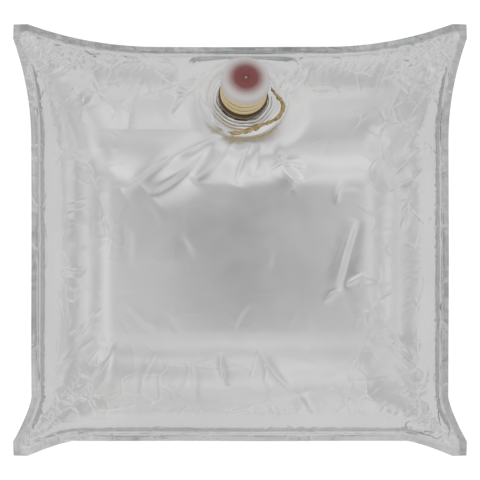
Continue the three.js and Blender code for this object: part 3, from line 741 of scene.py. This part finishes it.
class Nodes:
    """Short names for building a material's nodes."""

    def __init__(self, name):
        self.material = bpy.data.materials.new(name)
        self.material.use_nodes = True
        self.tree = self.material.node_tree
        self.shader = self.tree.nodes["Principled BSDF"]

    @classmethod
    def over(cls, tree):
        """The same short names for a node tree that exists, such as the world's."""
        nodes = cls.__new__(cls)
        nodes.tree = tree
        return nodes

    def add(self, kind, **values):
        """Adds a node. Each value sets the input of that name, or else the property."""
        node = self.tree.nodes.new(kind)
        for key, value in values.items():
            if key in node.inputs:
                node.inputs[key].default_value = value
            else:
                setattr(node, key, value)
        return node

    def link(self, source, target):
        self.tree.links.new(source, target)

    def object_point(self):
        return self.add("ShaderNodeTexCoord").outputs["Object"]

    def noise(self, scale, detail=4.0, roughness=0.55, point=None):
        node = self.add("ShaderNodeTexNoise", Scale=scale, Detail=detail, Roughness=roughness)
        self.link(point or self.object_point(), node.inputs["Vector"])
        return node.outputs["Fac"]

    def ramp(self, source, stops):
        node = self.add("ShaderNodeValToRGB")
        elements = node.color_ramp.elements
        while len(elements) < len(stops):
            elements.new(0.5)
        for element, (place, colour) in zip(elements, stops):
            element.position = place
            element.color = (*colour, 1) if len(colour) == 3 else colour
        self.link(source, node.inputs["Fac"])
        return node.outputs["Color"]

    def times(self, one, other):
        node = self.add("ShaderNodeMath", operation="MULTIPLY")
        self.link(one, node.inputs[0])
        self.link(other, node.inputs[1])
        return node.outputs["Value"]

    def tinted(self, tone, shade):
        mix = self.add("ShaderNodeMix", data_type="RGBA", blend_type="MULTIPLY")
        mix.inputs["Factor"].default_value = 1.0
        self.link(tone, mix.inputs["A"])
        self.link(shade, mix.inputs["B"])
        return mix.outputs["Result"]

    def bump(self, source, strength, distance, before=None):
        node = self.add("ShaderNodeBump", Strength=strength, Distance=distance)
        self.link(source, node.inputs["Height"])
        if before:
            self.link(before, node.inputs["Normal"])
        return node.outputs["Normal"]


def pulled_cells(n, scale, warp, feature):
    """Cells whose edges noise pulls about: by F1 flat facets, by DISTANCE_TO_EDGE their edges."""
    point = n.object_point()
    noise = n.add("ShaderNodeTexNoise", Scale=scale * CELLS_WARPED_BY, Detail=3.0)
    n.link(point, noise.inputs["Vector"])
    shift = n.add("ShaderNodeVectorMath", operation="SCALE", Scale=warp)
    n.link(noise.outputs["Color"], shift.inputs["Vector"])
    moved = n.add("ShaderNodeVectorMath", operation="ADD")
    n.link(point, moved.inputs[0])
    n.link(shift.outputs["Vector"], moved.inputs[1])
    cells = n.add("ShaderNodeTexVoronoi", feature=feature, Scale=float(scale))
    n.link(moved.outputs["Vector"], cells.inputs["Vector"])
    return cells.outputs["Distance"]


def crease_lines(n, scale, warp, width):
    """Thin sharp lines along parts of the cells' edges."""
    line = scaled(n, pulled_cells(n, scale, warp, "DISTANCE_TO_EDGE"), 0, width, 1, 0)
    here = scaled(n, n.noise(scale * LINES_PATCHES, 2), LINES_FROM, LINES_FROM + LINES_FADE)
    return n.times(line, here)


def film_material():
    """Metallised laminate: bright, softly crumpled, with a faint change of tone and of gloss."""
    n = Nodes("metallised_film")
    n.shader.inputs["Metallic"].default_value = 1.0
    tone = n.ramp(n.noise(14, 3), [(0.3, (0.72, 0.72, 0.725)), (0.7, (0.78, 0.78, 0.775))])
    sealed = n.add("ShaderNodeAttribute", attribute_name="sealed").outputs["Fac"]
    mottle = n.noise(130, 4, 0.7)
    dull = n.times(sealed, scaled(n, mottle, *SEAL_MOTTLE))
    seal_tone = n.add("ShaderNodeMix", data_type="RGBA")
    n.link(dull, seal_tone.inputs["Factor"])
    n.link(tone, seal_tone.inputs["A"])
    seal_tone.inputs["B"].default_value = (*SEAL_TONE, 1)
    n.link(seal_tone.outputs["Result"], n.shader.inputs["Base Color"])
    gloss = n.ramp(n.noise(30, 4), [(0.3, grey(0.14)), (0.7, grey(0.20))])
    hazed = n.add("ShaderNodeAttribute", attribute_name="hazed").outputs["Fac"]
    duller = n.add("ShaderNodeMath", operation="ADD")
    n.link(gloss, duller.inputs[0])
    n.link(scaled(n, hazed, 0, 1, 0, HAZE_ROUGHER), duller.inputs[1])
    n.link(duller.outputs["Value"], n.shader.inputs["Roughness"])
    creased = n.add("ShaderNodeAttribute", attribute_name="creased").outputs["Fac"]
    normal = None
    for source, strength, depth in (
        (crease_lines(n, 26, 0.030, 0.045), 0.75, 0.0008),
        (crease_lines(n, 52, 0.016, 0.07), 0.65, 0.0006),
        (pulled_cells(n, 38, 0.014, "F1"), 0.50, 0.0010),
        (pulled_cells(n, 110, 0.005, "F1"), 0.26, 0.0005),
        (n.noise(60, 4, 0.6), 0.30, 0.0010),
    ):
        normal = n.bump(source, strength, depth, normal)
        n.link(scaled(n, creased, 0, 1, 0, strength), normal.node.inputs["Strength"])
    n.link(normal, n.shader.inputs["Normal"])
    return n.material


def amber_material():
    """Natural amber polyethylene, a little see-through, in tones along the spout's axis that hold
    painted shade.
    """
    n = Nodes("amber_plastic")
    mottle = n.ramp(n.noise(90, 4), [(0.25, (0.86, 0.85, 0.80)), (0.75, (1.0, 1.0, 1.0))])
    _, height = from_axis(n)
    along = scaled(n, height, 0, NECK_TONES_LENGTH)
    # Painted shade: the collar darker, a shadow in the groove above it and dark lines between the
    # ribs.
    tone = n.ramp(along, NECK_TONES_WITH_PAINTED_SHADE)
    n.link(n.tinted(tone, mottle), n.shader.inputs["Base Color"])
    gloss = n.ramp(n.noise(160, 3), [(0.3, grey(0.30)), (0.7, grey(0.42))])
    n.link(gloss, n.shader.inputs["Roughness"])
    n.shader.inputs["Subsurface Weight"].default_value = 0.25
    n.shader.inputs["Subsurface Radius"].default_value = AMBER_DEPTHS
    n.shader.inputs["Subsurface Scale"].default_value = 1.0
    n.link(n.bump(n.noise(700, 3), 0.12, 0.0002), n.shader.inputs["Normal"])
    return n.material


def red_material():
    """Thick red contents, wet against the closure."""
    n = Nodes("red_contents")
    n.shader.inputs["Specular IOR Level"].default_value = 0.25
    tone = n.ramp(n.noise(160, 4), [(0.3, (0.21, 0.038, 0.034)), (0.7, (0.27, 0.055, 0.049))])
    n.link(tone, n.shader.inputs["Base Color"])
    gloss = n.ramp(n.noise(90, 3), [(0.3, grey(0.22)), (0.7, grey(0.34))])
    n.link(gloss, n.shader.inputs["Roughness"])
    n.link(n.bump(n.noise(260, 3), 0.25, 0.0003), n.shader.inputs["Normal"])
    return n.material


def from_axis(n):
    """Distance from the spout's axis and height along it, in metres, as node outputs."""
    point = n.object_point()
    offset = n.add("ShaderNodeVectorMath", operation="SUBTRACT")
    n.link(point, offset.inputs[0])
    offset.inputs[1].default_value = tuple(float(c) for c in SEAT)
    height = n.add("ShaderNodeVectorMath", operation="DOT_PRODUCT")
    n.link(offset.outputs["Vector"], height.inputs[0])
    height.inputs[1].default_value = tuple(float(c) for c in AXIS)
    length = n.add("ShaderNodeVectorMath", operation="LENGTH")
    n.link(offset.outputs["Vector"], length.inputs[0])
    rest = n.add("ShaderNodeMath", operation="SUBTRACT")
    n.link(n.times(length.outputs["Value"], length.outputs["Value"]), rest.inputs[0])
    n.link(n.times(height.outputs["Value"], height.outputs["Value"]), rest.inputs[1])
    radius = n.add("ShaderNodeMath", operation="SQRT")
    n.link(rest.outputs["Value"], radius.inputs[0])
    return radius.outputs["Value"], height.outputs["Value"]


def scaled(n, source, low, high, to_low=0.0, to_high=1.0):
    """The source from low to high, mapped to to_low and to_high and held at both ends."""
    node = n.add("ShaderNodeMapRange")
    node.inputs["From Min"].default_value = low
    node.inputs["From Max"].default_value = high
    node.inputs["To Min"].default_value = to_low
    node.inputs["To Max"].default_value = to_high
    n.link(source, node.inputs["Value"])
    return node.outputs["Result"]


def frosted_material():
    """Frosted polyethylene, with painted light: the red contents behind it painted in as seen
    through it, milky further out.
    """
    n = Nodes("frosted_plastic")
    radius, _ = from_axis(n)
    place = scaled(n, radius, 0, CAP_RADIUS)
    n.link(n.ramp(place, CAP_COVER), n.shader.inputs["Alpha"])
    # Painted light: the red contents as seen through the frosted plastic, and a pink glow round
    # them.
    tone = n.ramp(place, CAP_PAINTED_SEE_THROUGH_TONES)
    mottle = n.ramp(n.noise(60, 3), [(0.3, grey(0.92)), (0.7, grey(1.0))])
    n.link(n.tinted(tone, mottle), n.shader.inputs["Base Color"])
    gloss = n.ramp(n.noise(220, 3), [(0.3, grey(0.38)), (0.7, grey(0.50))])
    n.link(gloss, n.shader.inputs["Roughness"])
    n.link(n.bump(n.noise(900, 2), 0.15, 0.0002), n.shader.inputs["Normal"])
    return n.material


def bead_material():
    """Amber that ran out along the flange's rim, rougher and more uneven than the spout's."""
    n = Nodes("amber_bead")
    tone = n.ramp(n.noise(300, 4), [(0.35, (0.27, 0.18, 0.065)), (0.65, (0.52, 0.38, 0.16))])
    n.link(tone, n.shader.inputs["Base Color"])
    gloss = n.ramp(n.noise(200, 3), [(0.3, grey(0.35)), (0.7, grey(0.55))])
    n.link(gloss, n.shader.inputs["Roughness"])
    n.link(n.bump(n.noise(900, 3), 0.4, 0.0003), n.shader.inputs["Normal"])
    return n.material


def weld_height(radius, angle):
    """Height of the welded film over the seat's plane."""
    slow, quick = WELD_WOBBLE
    wobble = slow * np.sin(3 * angle + 1) + quick * np.sin(7 * angle)
    phase = (radius + wobble - COLLAR_RADIUS) / RING_PITCH
    rings = RING_HEIGHT * (0.5 + 0.5 * np.cos(2 * np.pi * (phase - 0.5))) ** RING_SHARPNESS
    second = RING_SECOND_HEIGHT * np.sin(2 * np.pi * (radius + 2 * wobble) / RING_SECOND_PITCH)
    patch = 1 - RING_PATCHES + RING_PATCHES * np.sin(3 * angle + 5 * radius / RING_PITCH)
    lower = (0.5 - 0.5 * np.sin(angle + RING_TURN)) ** RING_WEAKENS
    lower = RING_WEAKEST + (1 - RING_WEAKEST) * lower
    starts, full = RINGS_FROM_COLLAR
    fade = smooth(radius, COLLAR_RADIUS + starts, COLLAR_RADIUS + full)
    ringed = 1 - smooth(radius, FLANGE_RADIUS - RINGS_END, FLANGE_RADIUS)
    edge = 1 - smooth(radius, FLANGE_RADIUS - WELD_LIFT_FADE, WELD_OUTER)
    return WELD_LIFT * edge + (rings * patch + second) * lower * fade * ringed


def weld_mesh():
    """The ringed film over the flange: a thin closed ring with an uneven outer edge."""
    angles = np.linspace(0, 2 * np.pi, WELD_ROUND, endpoint=False)
    share = np.linspace(0, 1, WELD_RINGS)
    angle, t = np.meshgrid(angles, share)
    edge = WELD_OUTER + WELD_EDGE_WANDER * (np.sin(5 * angle) + 0.6 * np.sin(11 * angle + 2)) / 2
    radius = WELD_INNER + (edge - WELD_INNER) * t
    height = weld_height(radius, angle)
    rows = []
    for lift in (height, np.minimum(height - WELD_THICKNESS, 0) - WELD_UNDER):
        p = (SEAT + radius[..., None] * (np.cos(angle)[..., None] * ACROSS
             + np.sin(angle)[..., None] * UPWARD) + lift[..., None] * AXIS)
        rows.append(p)
    rings = np.concatenate([rows[0], rows[1][::-1]])
    count, around = rings.shape[:2]
    faces = []
    for j in range(count):
        for i in range(around):
            k, m = (i + 1) % around, (j + 1) % count
            faces.append((j * around + i, j * around + k, m * around + k, m * around + i))
    return rings.reshape(-1, 3), [face[::-1] for face in faces]


def bead_mesh(surface_height):
    """A ragged tube along the bead's route, pressed on to the film."""
    rng = np.random.default_rng(BEAD_SEED)
    count = (len(BEAD) - 1) * BEAD_STEPS + 1
    places = np.linspace(0, len(BEAD) - 1, count)
    columns = [np.interp(places, range(len(BEAD)), [row[k] for row in BEAD]) for k in range(3)]
    of_width, of_x, of_y = BEAD_WAVE_RATES
    rough = BEAD_ROUGHNESS * rng.uniform(-1, 1, count)
    ragged = 1 + BEAD_WAVES * np.sin(places * of_width) + rough
    width = columns[2] / MM_IN_METRE * ragged
    x = columns[0] / MM_IN_METRE + BEAD_WANDER * np.sin(places * of_x)
    y = columns[1] / MM_IN_METRE + BEAD_WANDER * np.cos(places * of_y)
    lift = BEAD_FLATTEN * width * BEAD_SINK
    centre = np.stack([x, y, surface_height(x, y) + lift], axis=-1)
    along = np.gradient(centre, axis=0)
    along /= np.linalg.norm(along, axis=1, keepdims=True)
    sideways = np.cross(along, AXIS)
    sideways /= np.linalg.norm(sideways, axis=1, keepdims=True)
    upward = np.cross(sideways, along)
    turn = np.linspace(0, 2 * np.pi, BEAD_SIDES, endpoint=False)
    section = (np.cos(turn)[None, :, None] * sideways[:, None]
               + BEAD_FLATTEN * np.sin(turn)[None, :, None] * upward[:, None])
    rings = centre[:, None] + width[:, None, None] * section
    faces = []
    for j in range(count - 1):
        for i in range(BEAD_SIDES):
            k = (i + 1) % BEAD_SIDES
            base = j * BEAD_SIDES
            faces.append((base + i, base + k, base + BEAD_SIDES + k, base + BEAD_SIDES + i))
    faces.append(tuple(range(BEAD_SIDES))[::-1])
    faces.append(tuple((count - 1) * BEAD_SIDES + i for i in range(BEAD_SIDES)))
    return rings.reshape(-1, 3), faces


def height_reader(*surfaces):
    """Gives a function that reads the height of the film near the spout at places x, y."""
    points = np.concatenate([surface.reshape(-1, 3) for surface in surfaces])
    from_seat = np.hypot(points[:, 0] - SEAT[0], points[:, 1] - SEAT[1])
    points = points[from_seat < BEAD_FILM_REACH]

    def read(x, y):
        heights = []
        for px, py in zip(x, y):
            distance = np.hypot(points[:, 0] - px, points[:, 1] - py)
            nearest = np.argsort(distance)[:BEAD_FILM_POINTS]
            heights.append(float(points[nearest, 2].max()))
        return np.array(heights)

    return read


def dress(node, material):
    """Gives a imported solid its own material."""
    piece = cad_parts[node]
    piece.data.materials.clear()
    piece.data.materials.append(material)


def build_floor():
    """A plain pale floor that glows. The camera sees it brighter than the part does."""
    n = Nodes("floor")
    n.shader.inputs["Roughness"].default_value = 0.9
    n.shader.inputs["Specular IOR Level"].default_value = 0.0
    darker, lighter = grey(FLOOR_TONE - FLOOR_MOTTLE), grey(FLOOR_TONE + FLOOR_MOTTLE)
    tone = n.ramp(n.noise(1.5, 2), [(0.3, darker), (0.7, lighter)])
    n.link(tone, n.shader.inputs["Base Color"])
    n.shader.inputs["Emission Color"].default_value = (1, 1, 1, 1)
    paths = n.add("ShaderNodeLightPath")
    n.link(scaled(n, paths.outputs["Is Camera Ray"], 0, 1, FLOOR_GLOW, FLOOR_GLOW_SEEN),
           n.shader.inputs["Emission Strength"])
    half = FLOOR_SIZE / 2
    corners = [(-half, -half, 0), (half, -half, 0), (half, half, 0), (-half, half, 0)]
    floor = mesh_object("floor", corners, [(0, 1, 2, 3)], n.material)


def build_world():
    """Pale surroundings, darker straight overhead, and a little brighter towards the far side."""
    world = bpy.data.worlds.new("studio")
    bpy.context.scene.world = world
    world.use_nodes = True
    n = Nodes.over(world.node_tree)
    point = n.add("ShaderNodeTexCoord").outputs["Generated"]
    split = n.add("ShaderNodeSeparateXYZ")
    n.link(point, split.inputs["Vector"])
    rings = n.ramp(scaled(n, split.outputs["Z"], -1, 1), WORLD_RINGS)
    lobe = n.add("ShaderNodeVectorMath", operation="DOT_PRODUCT")
    n.link(point, lobe.inputs[0])
    lobe.inputs[1].default_value = WORLD_BRIGHT_SIDE
    brighter = scaled(n, lobe.outputs["Value"], WORLD_BRIGHT_FROM, 1, 1, 1 + WORLD_BRIGHT)
    clouds = n.noise(WORLD_CLOUD_SCALE, 2, 0.5, point)
    clouds = scaled(n, clouds, *WORLD_CLOUDS_FROM, 1 - WORLD_CLOUDS, 1 + WORLD_CLOUDS)
    paths = n.add("ShaderNodeLightPath")
    diffuse = scaled(n, paths.outputs["Is Diffuse Ray"], 0, 1, 1, WORLD_ON_MATT)
    level = n.times(n.times(brighter, clouds), diffuse)
    background = world.node_tree.nodes["Background"]
    seen = n.add("ShaderNodeMix", data_type="RGBA")
    n.link(paths.outputs["Is Camera Ray"], seen.inputs["Factor"])
    n.link(rings, seen.inputs["A"])
    seen.inputs["B"].default_value = (1, 1, 1, 1)
    n.link(seen.outputs["Result"], background.inputs["Color"])
    n.link(level, background.inputs["Strength"])


def build_camera():
    """Looks straight down, as the photo does."""
    data = bpy.data.cameras.new("camera")
    data.lens = LENS
    data.sensor_width = SENSOR
    camera = bpy.data.objects.new("camera", data)
    camera.location = (0, 0, CAMERA_HEIGHT)
    bpy.context.scene.collection.objects.link(camera)
    bpy.context.scene.camera = camera


build_camera()
build_floor()
build_world()
bpy.context.scene.view_settings.view_transform = "Standard"

film = film_material()
front = film_points(front_surface, levels=3, out=1, seat=True)
press_creases(front, placed_creases() + small_creases())
back = film_points(back_surface, levels=2, out=-1, seat=False)
pouch_points, pouch_faces, pouch_flat = pouch_mesh(front, back)
pouch = mesh_object("pouch_film", pouch_points, pouch_faces, film)
mark_film(pouch, pouch_flat)
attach(pouch, "pack")
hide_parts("pouch")

weld_points, weld_faces = weld_mesh()
weld = mesh_object("welded_film_ring", weld_points, weld_faces, film)
weld.data.attributes.new("creased", "FLOAT", "POINT").data.foreach_set(
    "value", [WELD_CREASED] * len(weld.data.vertices))
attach(weld, "pack")

bead_points, bead_faces = bead_mesh(height_reader(front, weld_points))
bead = mesh_object("amber_bead", bead_points, bead_faces, bead_material())
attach(bead, "pack")

dress("spout", amber_material())
dress("cap", frosted_material())
dress("contents_in_neck", red_material())
